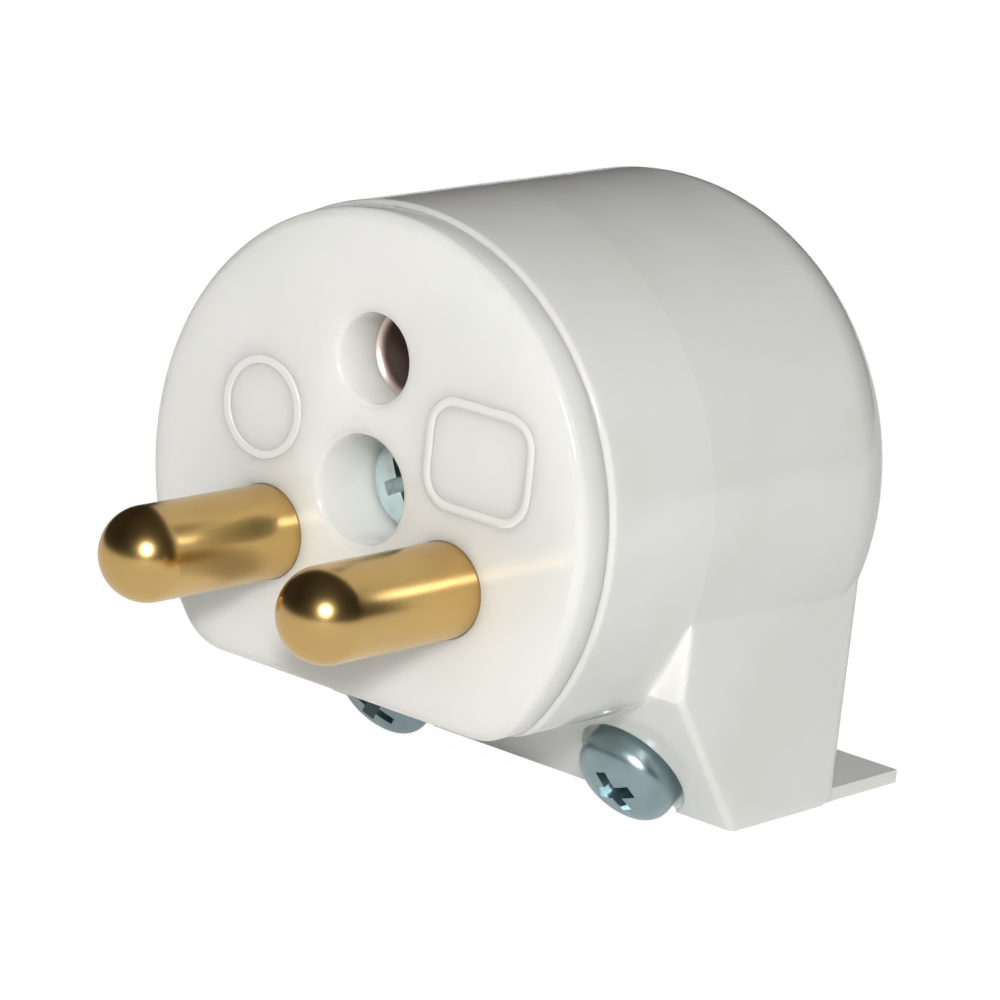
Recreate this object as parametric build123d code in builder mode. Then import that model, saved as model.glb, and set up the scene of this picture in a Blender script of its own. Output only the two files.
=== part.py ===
"""Angled lamp plug: two round pins and an earth socket in front, a cord outlet below.

Frame, in millimetres: the contact face lies in the XZ plane with the plug's axis through
the origin. The pins point to -Y, the body lies behind the face towards +Y, +Z is up, and
the cord leaves downwards between the slanted front wall and the cord clamp.
"""
import os
from math import atan2, cos, degrees, radians, sin, tan

from build123d import *

# Contacts, seen from the pin side
PIN_DIAMETER = 5.0
PIN_LENGTH = 11.2
PIN_SPACING = 12.3
PIN_DROP = 3.4
PIN_ROOT_DIAMETER = 4.4
EARTH_RISE = 7.2
EARTH_HOLE_DIAMETER = 4.7
EARTH_SLEEVE_BORE = 4.2
EARTH_SLEEVE_BORE_DEPTH = 9.0
EARTH_SLOT_WIDTH = 0.7
EARTH_SPRING_WIDTH = 1.4
EARTH_SPRING_THICKNESS = 0.5
EARTH_SPRING_GAP = 1.2
TERMINAL_DIAMETER = 6.2
PIN_TERMINAL_LENGTH = 9.0
EARTH_TERMINAL_LENGTH = 4.0

# Contact base
BASE_RADIUS = 14.75
RIM_THICKNESS = 2.0
FLOOR_THICKNESS = 2.9
FACE_ROUND = 0.5
FLAT_DROP = 10.6
FLAT_CORNER_ROUND = 3.5
SPIGOT_DEPTH = 6.0
SPIGOT_WALL = 1.9
TOWER_RADIUS = 4.2
TOWER_DEPTH = 8.5
PILLAR_WALL = 2.9
HOLE_ROUND = 0.3

# Cover
COVER_FRONT_RADIUS = 15.0
COVER_CREASE_RADIUS = 15.1
COVER_REAR_RADIUS = 15.3
COVER_FRONT_ROUND = 0.35
COVER_REAR_ROUND = 5.5
CREASE_DEPTH = 10.1
COVER_DEPTH = 28.2
COVER_BORE_RADIUS = 13.1
COVER_REAR_WALL = 1.9
FLAT_WALL = 1.6
BOSS_RADIUS = 3.4
RIB_THICKNESS = 1.1
RIB_HEIGHT = 5.5

# Cord outlet block below the cover
BLOCK_HALF_WIDTH = 14.4
BLOCK_DROP = 16.8
BLOCK_REAR_DEPTH = 25.1
BLOCK_REAR_ROUND = 0.8
BLOCK_HEEL_ROUND = 1.5
BLOCK_SIDE_WALL = 1.3
BLOCK_REAR_WALL = 1.6
BLOCK_FRONT_WALL = 2.0
SLANT_TOP_DROP = 8.9
SLANT_ANGLE = 36.0
SLANT_ROUND = 0.4

# Cord clamp, parallel to the slanted wall, with its flap under the rear wall
CLAMP_GAP = 4.3
CLAMP_THICKNESS = 1.4
CLAMP_HALF_HEIGHT = 3.0
CLAMP_SIDE_CLEARANCE = 0.4
CLAMP_LIP_CLEARANCE = 0.35
CLAMP_BLOCK_HEIGHT = 1.2
CLAMP_BLOCK_WALL = 0.75
CLAMP_RIDGES = 3
CLAMP_RIDGE_PITCH = 2.0
CLAMP_RIDGE_HEIGHT = 0.5
CLAMP_RIDGE_WIDTH = 1.0
CLAMP_RIDGE_LENGTH = 12.0
FLAP_THICKNESS = 0.75
FLAP_END_DEPTH = 33.2
FLAP_CLEARANCE = 0.1

# Fasteners
SCREW_SHANK_DIAMETER = 2.9
SCREW_HOLE_DIAMETER = 3.4
SCREW_HEAD_DIAMETER = 6.0
SCREW_HEAD_HEIGHT = 2.4
SCREW_HEAD_WALL = 1.2
SCREW_TIP_CHAMFER = 0.4
RECESS_SPAN = 3.0
RECESS_WIDTH = 0.8
RECESS_DEPTH = 1.2
COVER_SCREW_LENGTH = 10.0
COVER_SCREW_HEAD_DIAMETER = 5.5
COVER_SCREW_RISE = 0.3
COVER_SCREW_SINK = 3.4
COVER_SCREW_HOLE_DIAMETER = 5.8
CLAMP_SCREW_LENGTH = 9.0
CLAMP_SCREW_SPACING = 17.2
CLAMP_SCREW_DROP = 14.7
SPOT_FACE_DIAMETER = 6.6
SPOT_FACE_DEPTH = 0.55
TERMINAL_SCREW_LENGTH = 3.2
TERMINAL_HEAD_DIAMETER = 5.4
TERMINAL_HEAD_HEIGHT = 1.6
TAPPED_HOLE_DIAMETER = 3.0
TAPPED_HOLE_DEPTH = 3.4
WASHER_DIAMETER = 6.4
WASHER_HOLE_DIAMETER = 3.2
WASHER_THICKNESS = 0.7
INSERT_DIAMETER = 4.2
COVER_INSERT_LENGTH = 6.0

# Clearances
SLIDE_CLEARANCE = 0.1
PRESS_CLEARANCE = 0.05
EDGE_BREAK = 0.3

# Places that follow from the sizes above
LEFT_PIN_AT = (-PIN_SPACING / 2, -PIN_DROP)
RIGHT_PIN_AT = (PIN_SPACING / 2, -PIN_DROP)
EARTH_AT = (0, EARTH_RISE)
COVER_SCREW_AT = (0, COVER_SCREW_RISE)
PIN_TERMINAL_END = FLOOR_THICKNESS + PIN_TERMINAL_LENGTH
EARTH_BORE_END = FLOOR_THICKNESS + EARTH_SLEEVE_BORE_DEPTH
EARTH_TERMINAL_END = EARTH_BORE_END + EARTH_TERMINAL_LENGTH
SPIGOT_RADIUS = COVER_BORE_RADIUS - SLIDE_CLEARANCE
SPIGOT_FLAT_DROP = FLAT_DROP - FLAT_WALL - SLIDE_CLEARANCE
COVER_SCREW_SEAT = COVER_SCREW_SINK + SCREW_HEAD_HEIGHT
PILLAR_DEPTH = COVER_SCREW_SEAT + PILLAR_WALL
SLANT = radians(SLANT_ANGLE)
SLANT_OUT = Vector(0, -cos(SLANT), -sin(SLANT))
SLANT_UP = Vector(0, -sin(SLANT), cos(SLANT))
SLANT_FOOT_DEPTH = CREASE_DEPTH + (BLOCK_DROP - SLANT_TOP_DROP) * tan(SLANT)
BLOCK_BORE_HALF_WIDTH = BLOCK_HALF_WIDTH - BLOCK_SIDE_WALL
BLOCK_BORE_REAR = BLOCK_REAR_DEPTH - BLOCK_REAR_WALL
CLAMP_FRONT = BLOCK_FRONT_WALL + CLAMP_GAP
CLAMP_REAR = CLAMP_FRONT + CLAMP_THICKNESS
CLAMP_HALF_WIDTH = BLOCK_BORE_HALF_WIDTH - CLAMP_SIDE_CLEARANCE
CLAMP_BLOCK_SIZE = INSERT_DIAMETER + 2 * CLAMP_BLOCK_WALL
CLAMP_SCREW_XS = (-CLAMP_SCREW_SPACING / 2, CLAMP_SCREW_SPACING / 2)


def depth_plane(depth, place=(0, 0)):
    """Plane parallel to the contact face, a depth behind it, with x along X and y along Z."""
    return Plane(origin=(place[0], depth, place[1]), x_dir=(1, 0, 0), z_dir=(0, -1, 0))


def rear_plane(depth):
    """Plane at a depth that looks out of the rear, for heads that face backwards."""
    return Plane(origin=(0, depth, 0), x_dir=(-1, 0, 0), z_dir=(0, 1, 0))


def slant_point(inset, rise):
    """Depth and height of a point inset behind the slanted face, up from the screws' line."""
    seat_depth = CREASE_DEPTH + (CLAMP_SCREW_DROP - SLANT_TOP_DROP) * tan(SLANT)
    point = Vector(0, seat_depth, -CLAMP_SCREW_DROP) - SLANT_OUT * inset + SLANT_UP * rise
    return (point.Y, point.Z)


def slant_foot(inset, height):
    """Where the line at an inset behind the slanted face comes down to a height."""
    start = slant_point(inset, 0)
    return (start[0] + (start[1] - height) * tan(SLANT), height)


def slant_at(inset, depth):
    """Where the line at an inset behind the slanted face passes a depth."""
    start = slant_point(inset, 0)
    return (depth, start[1] + (start[0] - depth) / tan(SLANT))


def slant_plane(side_x, inset):
    """Plane parallel to the slanted face on one screw's axis, looking out of the face."""
    depth, height = slant_point(inset, 0)
    return Plane(origin=(side_x, depth, height), x_dir=(1, 0, 0), z_dir=SLANT_OUT)


def flat_disc(radius, drop):
    """Disc with its lower side cut off flat."""
    with BuildSketch(Plane.XY) as disc:
        Circle(radius)
        with Locations((0, -drop)):
            Rectangle(2 * radius, radius, align=(Align.CENTER, Align.MAX), mode=Mode.SUBTRACT)
    return disc.sketch


def axial_plane(seat):
    """Plane through a seat's normal: x stays, and y runs along the seat's normal."""
    return Plane(origin=seat.origin, x_dir=seat.x_dir, z_dir=-seat.y_dir)


def make_screw(seat, head_diameter, head_height, length):
    """Pan-head screw with a cross recess, its head standing on the seat plane."""
    head_radius = head_diameter / 2
    shank_radius = SCREW_SHANK_DIAMETER / 2
    dome_rise = head_height - SCREW_HEAD_WALL
    dome_radius = (head_radius**2 + dome_rise**2) / (2 * dome_rise)
    dome_centre = (0, head_height - dome_radius)
    rim_angle = degrees(atan2(SCREW_HEAD_WALL - dome_centre[1], head_radius))
    with BuildPart() as screw:
        with BuildSketch(axial_plane(seat)):
            with BuildLine():
                Polyline(
                    (0, head_height),
                    (0, -length),
                    (shank_radius - SCREW_TIP_CHAMFER, -length),
                    (shank_radius, SCREW_TIP_CHAMFER - length),
                    (shank_radius, 0),
                    (head_radius, 0),
                    (head_radius, SCREW_HEAD_WALL),
                )
                CenterArc(dome_centre, dome_radius, rim_angle, 90 - rim_angle)
            make_face()
        revolve(axis=Axis(seat.origin, seat.z_dir))
        with BuildSketch(seat.offset(head_height - RECESS_DEPTH)):
            Rectangle(RECESS_SPAN, RECESS_WIDTH)
            Rectangle(RECESS_WIDTH, RECESS_SPAN)
        extrude(amount=2 * RECESS_DEPTH, mode=Mode.SUBTRACT)
    return screw.part


def make_insert(mouth, length):
    """Round threaded insert that goes into a bore behind its mouth plane."""
    with BuildPart() as insert:
        with BuildSketch(mouth):
            Circle(INSERT_DIAMETER / 2)
            Circle(TAPPED_HOLE_DIAMETER / 2, mode=Mode.SUBTRACT)
        extrude(amount=-length)
        chamfer(insert.edges().filter_by(GeomType.CIRCLE).group_by(SortBy.RADIUS)[-1], EDGE_BREAK)
    return insert.part


def make_pin(place):
    """Turned pin with a round tip, a thinner root in the floor and a tapped rear end."""
    pin_radius = PIN_DIAMETER / 2
    root_radius = PIN_ROOT_DIAMETER / 2
    terminal_radius = TERMINAL_DIAMETER / 2
    tip_angle = -90
    with BuildPart() as pin:
        with BuildSketch(Plane(origin=(place[0], 0, place[1]))):
            with BuildLine():
                CenterArc((0, pin_radius - PIN_LENGTH), pin_radius, tip_angle, -tip_angle)
                Polyline(
                    (pin_radius, pin_radius - PIN_LENGTH),
                    (pin_radius, 0),
                    (root_radius, 0),
                    (root_radius, FLOOR_THICKNESS),
                    (terminal_radius, FLOOR_THICKNESS),
                    (terminal_radius, PIN_TERMINAL_END - EDGE_BREAK),
                    (terminal_radius - EDGE_BREAK, PIN_TERMINAL_END),
                    (0, PIN_TERMINAL_END),
                    (0, -PIN_LENGTH),
                )
            make_face()
        revolve(axis=Axis((place[0], 0, place[1]), (0, 1, 0)))
        with BuildSketch(depth_plane(PIN_TERMINAL_END)):
            with Locations(place):
                Circle(TAPPED_HOLE_DIAMETER / 2)
        extrude(amount=TAPPED_HOLE_DEPTH, mode=Mode.SUBTRACT)
    return pin.part


def make_washer(place, depth):
    """Flat wire washer on the rear end of a terminal."""
    with BuildPart() as washer:
        with BuildSketch(depth_plane(depth)):
            with Locations(place):
                Circle(WASHER_DIAMETER / 2)
                Circle(WASHER_HOLE_DIAMETER / 2, mode=Mode.SUBTRACT)
        extrude(amount=-WASHER_THICKNESS)
    return washer.part


def make_terminal_screw(place, depth):
    """Screw that holds a wire washer, its head towards the rear."""
    seat = rear_plane(depth + WASHER_THICKNESS)
    seat.origin = seat.origin + Vector(place[0], 0, place[1])
    length = TERMINAL_SCREW_LENGTH + WASHER_THICKNESS
    return make_screw(seat, TERMINAL_HEAD_DIAMETER, TERMINAL_HEAD_HEIGHT, length)


# Contact base: moulded face disc, spigot ring, three terminal towers and a screw pillar
face_disc = flat_disc(BASE_RADIUS, FLAT_DROP)
spigot_disc = flat_disc(SPIGOT_RADIUS, SPIGOT_FLAT_DROP)
spigot_core = flat_disc(SPIGOT_RADIUS - SPIGOT_WALL, SPIGOT_FLAT_DROP - SPIGOT_WALL)
with BuildPart() as contact_base:
    with BuildSketch(depth_plane(0)) as face_outline:
        add(face_disc)
        fillet(face_outline.vertices(), FLAT_CORNER_ROUND)
    extrude(amount=-RIM_THICKNESS)
    fillet(contact_base.faces().sort_by(Axis.Y)[0].edges(), FACE_ROUND)
    with BuildSketch(depth_plane(RIM_THICKNESS)):
        add(spigot_disc)
    extrude(amount=RIM_THICKNESS - FLOOR_THICKNESS)
    with BuildSketch(depth_plane(FLOOR_THICKNESS)):
        add(spigot_disc)
        add(spigot_core, mode=Mode.SUBTRACT)
    extrude(amount=FLOOR_THICKNESS - SPIGOT_DEPTH)
    with BuildSketch(depth_plane(FLOOR_THICKNESS)):
        with Locations(LEFT_PIN_AT, RIGHT_PIN_AT, EARTH_AT):
            Circle(TOWER_RADIUS)
    extrude(amount=FLOOR_THICKNESS - TOWER_DEPTH)
    with BuildSketch(depth_plane(FLOOR_THICKNESS, COVER_SCREW_AT)):
        Circle(TOWER_RADIUS)
    extrude(amount=FLOOR_THICKNESS - PILLAR_DEPTH)
    with BuildSketch(depth_plane(0)):
        with Locations(LEFT_PIN_AT, RIGHT_PIN_AT):
            Circle(PIN_DIAMETER / 2 + PRESS_CLEARANCE)
        with Locations(EARTH_AT):
            Circle(EARTH_HOLE_DIAMETER / 2)
    extrude(amount=-FLOOR_THICKNESS, mode=Mode.SUBTRACT)
    with BuildSketch(depth_plane(FLOOR_THICKNESS)):
        with Locations(LEFT_PIN_AT, RIGHT_PIN_AT, EARTH_AT):
            Circle(TERMINAL_DIAMETER / 2 + PRESS_CLEARANCE)
    extrude(amount=-PILLAR_DEPTH, mode=Mode.SUBTRACT)
    with Locations(depth_plane(0, COVER_SCREW_AT)):
        CounterBoreHole(SCREW_HOLE_DIAMETER / 2, COVER_SCREW_HOLE_DIAMETER / 2, COVER_SCREW_SEAT)
    open_mouths = (EARTH_HOLE_DIAMETER / 2, COVER_SCREW_HOLE_DIAMETER / 2)
    face_edges = contact_base.faces().sort_by(Axis.Y)[0].edges().filter_by(GeomType.CIRCLE)
    mouth_edges = [e for e in face_edges if any(abs(e.radius - r) < 1e-6 for r in open_mouths)]
    fillet(mouth_edges, HOLE_ROUND)

# Hollow of the cover: the drum's bore over the flat wall, and the cord's way down
bore_front_drop = FLAT_DROP - FLAT_WALL
bore_rear = COVER_DEPTH - COVER_REAR_WALL
bore_drop = COVER_BORE_RADIUS + SLIDE_CLEARANCE
with BuildPart() as hollow:
    with BuildSketch(Plane.XY):
        with Locations((0, RIM_THICKNESS)):
            Rectangle(COVER_BORE_RADIUS, bore_rear - RIM_THICKNESS, align=(Align.MIN, Align.MIN))
    revolve(axis=Axis.Y)
    fillet(hollow.edges().sort_by(Axis.Y)[-1], COVER_REAR_ROUND - COVER_REAR_WALL)
    with BuildSketch(Plane.YZ):
        with BuildLine():
            Polyline(
                (RIM_THICKNESS, -bore_front_drop),
                slant_foot(BLOCK_FRONT_WALL, -bore_front_drop),
                slant_foot(BLOCK_FRONT_WALL, -bore_drop),
                (RIM_THICKNESS, -bore_drop),
                close=True,
            )
        make_face()
    extrude(amount=COVER_BORE_RADIUS, both=True, mode=Mode.SUBTRACT)
    with BuildSketch(Plane.YZ):
        with BuildLine():
            Polyline(
                slant_foot(BLOCK_FRONT_WALL, -bore_front_drop),
                slant_foot(BLOCK_FRONT_WALL, -BLOCK_DROP),
                (BLOCK_BORE_REAR, -BLOCK_DROP),
                (BLOCK_BORE_REAR, -PIN_DROP),
                (slant_foot(BLOCK_FRONT_WALL, -bore_front_drop)[0], -PIN_DROP),
                close=True,
            )
        make_face()
    extrude(amount=BLOCK_BORE_HALF_WIDTH, both=True)

# Outlet block: flat sides, upright front, slanted lower front and a round heel
with BuildPart() as outlet_block:
    with BuildSketch(Plane.YZ) as block_profile:
        with BuildLine():
            Polyline(
                (CREASE_DEPTH, -PIN_DROP),
                (CREASE_DEPTH, -SLANT_TOP_DROP),
                (SLANT_FOOT_DEPTH, -BLOCK_DROP),
                (BLOCK_REAR_DEPTH, -BLOCK_DROP),
                (BLOCK_REAR_DEPTH, -PIN_DROP),
                close=True,
            )
        make_face()
        heel = block_profile.vertices().sort_by_distance((BLOCK_REAR_DEPTH, -BLOCK_DROP))[0]
        fillet(heel, BLOCK_HEEL_ROUND)
    extrude(amount=BLOCK_HALF_WIDTH, both=True)
    with BuildSketch(Plane.XY) as block_plan:
        with Locations((0, BLOCK_REAR_DEPTH)):
            Rectangle(2 * BLOCK_HALF_WIDTH, BLOCK_REAR_DEPTH, align=(Align.CENTER, Align.MAX))
        fillet(block_plan.vertices().group_by(Axis.Y)[-1], BLOCK_REAR_ROUND)
    extrude(amount=-BLOCK_DROP, mode=Mode.INTERSECT)
    slanted_front = outlet_block.faces().sort_by(lambda f: f.normal_at().dot(SLANT_OUT))[-1]
    fillet(slanted_front.edges().filter_by(Axis.X, reverse=True), SLANT_ROUND)

# Cover: drum with a mould crease, outlet block below it, screw boss and ribs inside
lip_inset = CLAMP_REAR + CLAMP_LIP_CLEARANCE
lip_start = BLOCK_BORE_REAR - BLOCK_REAR_WALL
with BuildPart() as cover:
    with BuildSketch(Plane.XY):
        with BuildLine():
            Polyline(
                (0, RIM_THICKNESS),
                (COVER_FRONT_RADIUS, RIM_THICKNESS),
                (COVER_CREASE_RADIUS, CREASE_DEPTH),
                (COVER_REAR_RADIUS, COVER_DEPTH),
                (0, COVER_DEPTH),
                close=True,
            )
        make_face()
    revolve(axis=Axis.Y)
    fillet(cover.edges().filter_by(GeomType.CIRCLE).sort_by(Axis.Y)[-1], COVER_REAR_ROUND)
    with BuildSketch(Plane.YZ):
        with BuildLine():
            Polyline(
                (0, -FLAT_DROP),
                slant_foot(0, -FLAT_DROP),
                slant_foot(0, -BLOCK_DROP),
                (0, -BLOCK_DROP),
                close=True,
            )
        make_face()
    extrude(amount=COVER_REAR_RADIUS, both=True, mode=Mode.SUBTRACT)
    drum_flat = cover.faces().filter_by(Axis.Z).sort_by(Axis.Z)[0]
    fillet(drum_flat.edges().filter_by(Axis.X, reverse=True), FLAT_CORNER_ROUND)
    fillet(cover.faces().sort_by(Axis.Y)[0].edges(), COVER_FRONT_ROUND)
    add(outlet_block.part)
    add(hollow.part, mode=Mode.SUBTRACT)
    with BuildSketch(Plane.YZ):
        with BuildLine():
            Polyline(
                slant_at(lip_inset, lip_start),
                slant_foot(lip_inset, -BLOCK_DROP),
                (lip_start, -BLOCK_DROP),
                close=True,
            )
        make_face()
    extrude(amount=BLOCK_BORE_HALF_WIDTH, both=True, mode=Mode.SUBTRACT)
    with BuildSketch(depth_plane(PILLAR_DEPTH, COVER_SCREW_AT)):
        Circle(BOSS_RADIUS)
    extrude(amount=PILLAR_DEPTH - bore_rear - COVER_REAR_WALL / 2)
    with BuildSketch(depth_plane(bore_rear - RIB_HEIGHT, COVER_SCREW_AT)):
        with PolarLocations(BOSS_RADIUS / 2, 3, angular_range=180, endpoint=True):
            Rectangle(
                COVER_REAR_RADIUS - COVER_REAR_ROUND, RIB_THICKNESS, align=(Align.MIN, Align.CENTER)
            )
    extrude(amount=-RIB_HEIGHT - COVER_REAR_WALL / 2)
    with BuildSketch(depth_plane(PILLAR_DEPTH, COVER_SCREW_AT)):
        Circle(INSERT_DIAMETER / 2 + PRESS_CLEARANCE)
    extrude(amount=-COVER_INSERT_LENGTH - SLIDE_CLEARANCE, mode=Mode.SUBTRACT)
    with BuildSketch(depth_plane(PILLAR_DEPTH, COVER_SCREW_AT)):
        Circle(SCREW_HOLE_DIAMETER / 2)
    extrude(amount=PILLAR_DEPTH - COVER_SCREW_SEAT - COVER_SCREW_LENGTH - EDGE_BREAK, mode=Mode.SUBTRACT)
    for screw_x in CLAMP_SCREW_XS:
        with BuildSketch(slant_plane(screw_x, SPOT_FACE_DEPTH)):
            Circle(SPOT_FACE_DIAMETER / 2)
        extrude(amount=SCREW_HEAD_HEIGHT, mode=Mode.SUBTRACT)
        with BuildSketch(slant_plane(screw_x, 0)):
            Circle(SCREW_HOLE_DIAMETER / 2)
        extrude(amount=-2 * BLOCK_FRONT_WALL, mode=Mode.SUBTRACT)

# Cord clamp: slanted plate with insert blocks and grip ridges, bent into the flap
flap_top = -BLOCK_DROP - FLAP_CLEARANCE
flap_bottom = flap_top - FLAP_THICKNESS
with BuildPart() as cord_clamp:
    with BuildSketch(Plane.YZ):
        with BuildLine():
            Polyline(
                slant_point(CLAMP_FRONT, CLAMP_HALF_HEIGHT),
                slant_foot(CLAMP_FRONT, flap_bottom),
                (FLAP_END_DEPTH, flap_bottom),
                (FLAP_END_DEPTH, flap_top),
                slant_foot(CLAMP_REAR, flap_top),
                slant_point(CLAMP_REAR, CLAMP_HALF_HEIGHT),
                close=True,
            )
        make_face()
    extrude(amount=CLAMP_HALF_WIDTH, both=True)
    with BuildSketch(Plane.YZ):
        for ridge in range(CLAMP_RIDGES):
            rise = -ridge * CLAMP_RIDGE_PITCH
            with BuildLine():
                Polyline(
                    slant_point(CLAMP_FRONT, rise + CLAMP_RIDGE_WIDTH / 2),
                    slant_point(CLAMP_FRONT - CLAMP_RIDGE_HEIGHT, rise),
                    slant_point(CLAMP_FRONT, rise - CLAMP_RIDGE_WIDTH / 2),
                    close=True,
                )
            make_face()
    extrude(amount=CLAMP_RIDGE_LENGTH / 2, both=True)
    for screw_x in CLAMP_SCREW_XS:
        with BuildSketch(slant_plane(screw_x, CLAMP_REAR)):
            Rectangle(CLAMP_BLOCK_SIZE, CLAMP_BLOCK_SIZE)
        extrude(amount=-CLAMP_BLOCK_HEIGHT)
        with BuildSketch(slant_plane(screw_x, CLAMP_FRONT)):
            Circle(INSERT_DIAMETER / 2 + PRESS_CLEARANCE)
        extrude(amount=-CLAMP_THICKNESS - CLAMP_BLOCK_HEIGHT, mode=Mode.SUBTRACT)

# Earth sleeve: slotted socket behind the face, with a tapped rear end
sleeve_radius = TERMINAL_DIAMETER / 2
sleeve_bore = EARTH_SLEEVE_BORE / 2
spring_front = TOWER_DEPTH + EDGE_BREAK
spring_rear = spring_front + EARTH_SPRING_WIDTH
groove_radius = sleeve_radius - EARTH_SPRING_THICKNESS / 2
earth_axis = Axis((0, 0, EARTH_RISE), (0, 1, 0))
with BuildPart() as earth_sleeve:
    with BuildSketch(Plane(origin=(0, 0, EARTH_RISE))):
        with BuildLine():
            Polyline(
                (sleeve_bore + EDGE_BREAK, FLOOR_THICKNESS),
                (sleeve_radius, FLOOR_THICKNESS),
                (sleeve_radius, spring_front - SLIDE_CLEARANCE),
                (groove_radius, spring_front - SLIDE_CLEARANCE),
                (groove_radius, spring_rear + SLIDE_CLEARANCE),
                (sleeve_radius, spring_rear + SLIDE_CLEARANCE),
                (sleeve_radius, EARTH_TERMINAL_END - EDGE_BREAK),
                (sleeve_radius - EDGE_BREAK, EARTH_TERMINAL_END),
                (0, EARTH_TERMINAL_END),
                (0, EARTH_BORE_END),
                (sleeve_bore, EARTH_BORE_END),
                (sleeve_bore, FLOOR_THICKNESS + EDGE_BREAK),
                close=True,
            )
        make_face()
    revolve(axis=earth_axis)
    with BuildSketch(depth_plane(FLOOR_THICKNESS)):
        with Locations(EARTH_AT):
            Rectangle(EARTH_SLOT_WIDTH, 3 * sleeve_radius)
    extrude(amount=sleeve_bore - EARTH_SLEEVE_BORE_DEPTH, mode=Mode.SUBTRACT)
    with BuildSketch(depth_plane(EARTH_TERMINAL_END)):
        with Locations(EARTH_AT):
            Circle(TAPPED_HOLE_DIAMETER / 2)
    extrude(amount=TAPPED_HOLE_DEPTH, mode=Mode.SUBTRACT)

# Earth spring: open ring in the sleeve's groove
spring_bore = groove_radius + PRESS_CLEARANCE
with BuildPart() as earth_spring:
    with BuildSketch(depth_plane(spring_front)):
        with Locations(EARTH_AT):
            Circle(spring_bore + EARTH_SPRING_THICKNESS)
            Circle(spring_bore, mode=Mode.SUBTRACT)
            Rectangle(2 * TOWER_RADIUS, EARTH_SPRING_GAP, align=(Align.MIN, Align.CENTER), mode=Mode.SUBTRACT)
    extrude(amount=-EARTH_SPRING_WIDTH)

clamp_insert_length = CLAMP_THICKNESS + CLAMP_BLOCK_HEIGHT - 2 * SLIDE_CLEARANCE
pieces = {
    "contact_base": contact_base.part,
    "cover": cover.part,
    "cord_clamp": cord_clamp.part,
    "left_pin": make_pin(LEFT_PIN_AT),
    "right_pin": make_pin(RIGHT_PIN_AT),
    "earth_sleeve": earth_sleeve.part,
    "earth_spring": earth_spring.part,
    "left_wire_washer": make_washer(LEFT_PIN_AT, PIN_TERMINAL_END),
    "right_wire_washer": make_washer(RIGHT_PIN_AT, PIN_TERMINAL_END),
    "earth_wire_washer": make_washer(EARTH_AT, EARTH_TERMINAL_END),
    "left_terminal_screw": make_terminal_screw(LEFT_PIN_AT, PIN_TERMINAL_END),
    "right_terminal_screw": make_terminal_screw(RIGHT_PIN_AT, PIN_TERMINAL_END),
    "earth_terminal_screw": make_terminal_screw(EARTH_AT, EARTH_TERMINAL_END),
    "cover_screw": make_screw(
        depth_plane(COVER_SCREW_SEAT, COVER_SCREW_AT),
        COVER_SCREW_HEAD_DIAMETER,
        SCREW_HEAD_HEIGHT,
        COVER_SCREW_LENGTH,
    ),
    "cover_insert": make_insert(depth_plane(PILLAR_DEPTH, COVER_SCREW_AT), COVER_INSERT_LENGTH),
}
for side, screw_x in zip(("left", "right"), CLAMP_SCREW_XS):
    seat = slant_plane(screw_x, SPOT_FACE_DEPTH)
    mouth = slant_plane(screw_x, CLAMP_FRONT + SLIDE_CLEARANCE)
    pieces[f"{side}_clamp_screw"] = make_screw(
        seat, SCREW_HEAD_DIAMETER, SCREW_HEAD_HEIGHT, CLAMP_SCREW_LENGTH
    )
    pieces[f"{side}_clamp_insert"] = make_insert(mouth, clamp_insert_length)

os.makedirs("parts", exist_ok=True)
for name, piece in pieces.items():
    piece.label = name
    export_step(piece, f"parts/{name}.step")
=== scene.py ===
"""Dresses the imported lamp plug: moulded plastic, turned brass, plated screws and a pale stage."""
import math

import bmesh
import bpy
from bpy.props import FloatProperty, FloatVectorProperty, IntProperty, PointerProperty
from mathutils import Matrix, Vector, kdtree


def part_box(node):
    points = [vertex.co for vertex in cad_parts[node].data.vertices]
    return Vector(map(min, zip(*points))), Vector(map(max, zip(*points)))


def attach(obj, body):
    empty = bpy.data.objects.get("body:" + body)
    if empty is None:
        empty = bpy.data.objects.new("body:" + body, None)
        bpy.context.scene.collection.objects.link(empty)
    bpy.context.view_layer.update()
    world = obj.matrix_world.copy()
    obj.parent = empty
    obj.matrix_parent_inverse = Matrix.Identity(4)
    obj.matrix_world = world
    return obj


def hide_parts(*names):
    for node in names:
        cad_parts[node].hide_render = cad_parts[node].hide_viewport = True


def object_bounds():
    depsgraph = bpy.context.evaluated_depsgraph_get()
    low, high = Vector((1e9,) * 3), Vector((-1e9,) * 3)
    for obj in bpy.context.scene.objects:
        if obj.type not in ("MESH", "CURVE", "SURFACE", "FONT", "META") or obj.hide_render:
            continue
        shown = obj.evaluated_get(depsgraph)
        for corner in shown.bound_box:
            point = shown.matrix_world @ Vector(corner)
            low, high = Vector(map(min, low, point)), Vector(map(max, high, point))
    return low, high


bl_info = {
    "name": "Lamp Plug Looks",
    "version": (1, 0, 0),
    "blender": (4, 5, 0),
    "location": "View3D > Sidebar > Lamp Plug",
    "description": "Builds the visible pieces, finishes and stage of an angled lamp plug",
    "category": "Object",
}

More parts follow.
